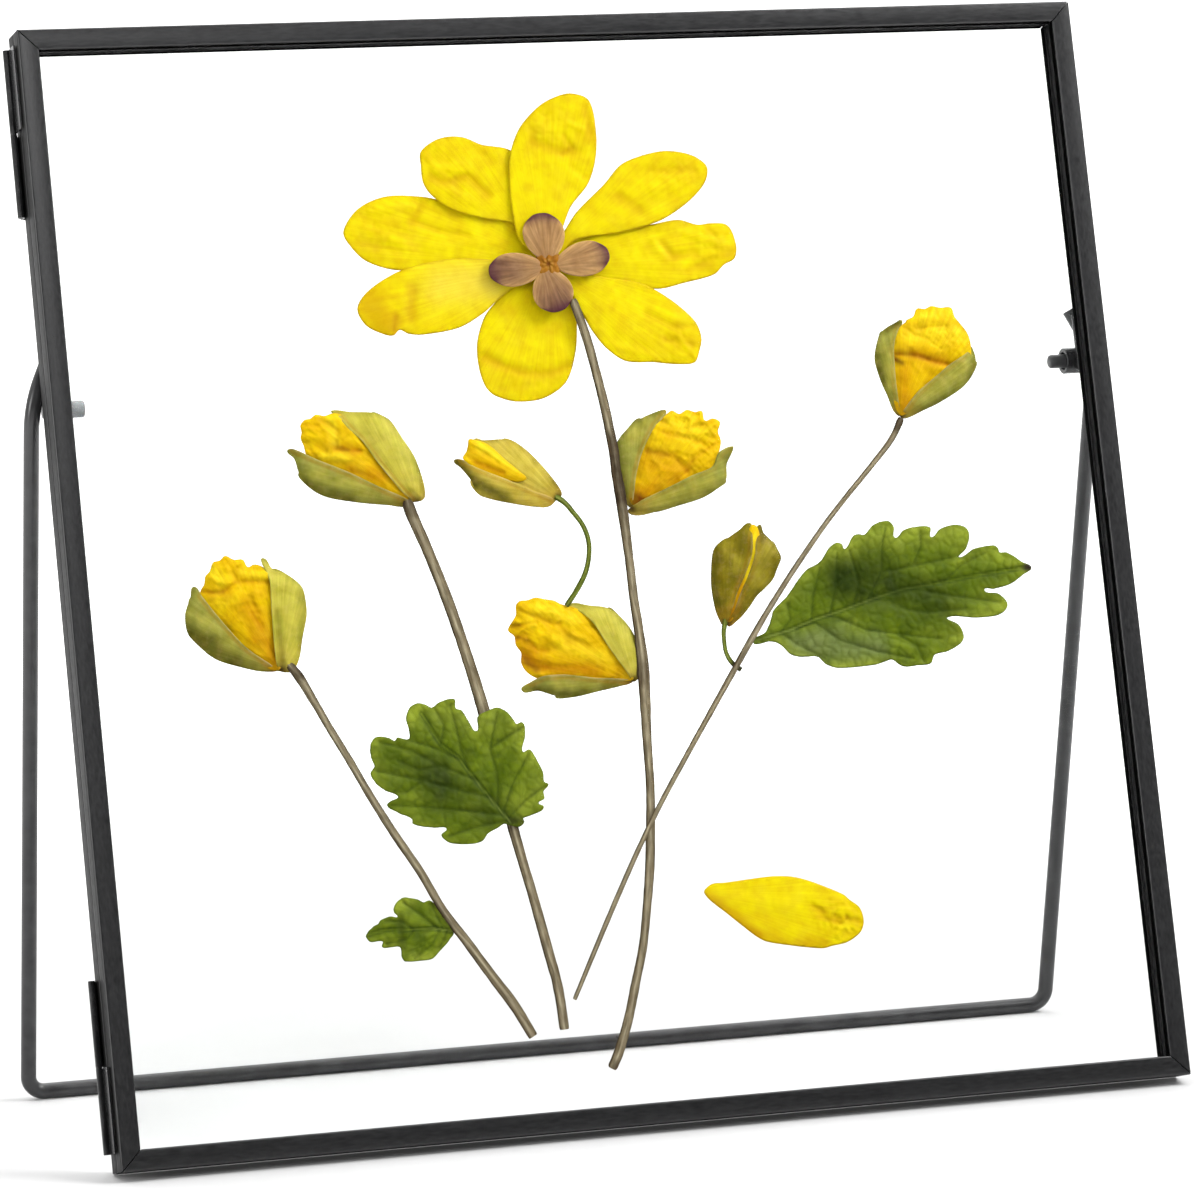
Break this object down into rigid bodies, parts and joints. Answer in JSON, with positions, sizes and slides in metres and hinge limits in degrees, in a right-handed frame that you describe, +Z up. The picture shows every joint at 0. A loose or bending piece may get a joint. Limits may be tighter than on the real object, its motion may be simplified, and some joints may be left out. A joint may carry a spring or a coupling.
{
  "type": "pressed flower frame",
  "caption": "Square hinged double-glass frame in slim black metal rails, leaning on a bent-wire stand, with pressed yellow flowers, buds, stems and leaves between the panes.",
  "frame": {"origin": "on the ground, under the middle of the bounding box: the lower back edge of the frame and the foot of the wire stand on z = 0", "axes": "+X to the right seen from the front, +Y towards the stand, +Z up; the frame faces -Y and leans back 16 degrees"},
  "size_m": [0.2154, 0.0729, 0.2039],
  "materials": {
    "black_metal": "satin black over a faint brushed grain",
    "hinge_metal": "satin black",
    "wire_metal": "satin black",
    "glass": "clear polished",
    "cap_plastic": "translucent white",
    "petal": "dry, wrinkled, matte",
    "pod": "dry, veined",
    "stem": "dry, ribbed",
    "stalk": "dry, ribbed green",
    "leaf": "dry, veined",
    "bud": "dry petals in green sepals"
  },
  "bodies": {
    "back_frame": {"back_bottom_rail": "black_metal", "back_right_rail": "black_metal", "back_top_rail": "black_metal", "back_left_rail": "black_metal", "upper_hinge_back_leaf": "hinge_metal", "upper_hinge_pin": "hinge_metal", "lower_hinge_back_leaf": "hinge_metal", "lower_hinge_pin": "hinge_metal", "left_pivot_bracket": "hinge_metal", "right_pivot_bracket": "hinge_metal", "back_glass": "glass", "petal_top": "petal", "petal_upper_right": "petal", "petal_right": "petal", "petal_lower_right": "petal", "petal_bottom": "petal", "petal_lower_left": "petal", "petal_left": "petal", "petal_upper_left": "petal", "loose_petal": "petal", "pod_top": "pod", "pod_right": "pod", "pod_bottom": "pod", "pod_left": "pod", "flower_heart": "pod", "main_stem": "stem", "thin_stem": "stem", "middle_stem": "stem", "left_stem": "stem", "curled_stalk": "stalk", "short_stalk": "stalk", "right_leaf": "leaf", "left_leaf": "leaf", "small_leaf": "leaf", "bud_upper_left": "bud", "bud_small": "bud", "bud_middle": "bud", "bud_low": "bud", "bud_left": "bud", "bud_right": "bud", "bud_closed": "bud"},
    "front_frame": {"front_bottom_rail": "black_metal", "front_right_rail": "black_metal", "front_top_rail": "black_metal", "front_left_rail": "black_metal", "front_glass": "glass", "upper_hinge_front_leaf": "hinge_metal", "lower_hinge_front_leaf": "hinge_metal"},
    "stand": {"stand_wire": "wire_metal", "left_pivot_pin": "wire_metal", "right_pivot_pin": "wire_metal", "left_pin_cap": "cap_plastic"}
  },
  "joints": [
    {"name": "front_hinge", "type": "hinge", "parent": "back_frame", "child": "front_frame", "pos_m": [-0.10595, -0.00313, 0.09651], "axis": [0, -0.2756, -0.9613], "range_deg": [0, 150]},
    {"name": "stand_pivot", "type": "hinge", "parent": "back_frame", "child": "stand", "pos_m": [0, 0.01278, 0.13419], "axis": [-1, 0, 0], "range_deg": [0, 25]}
  ]
}
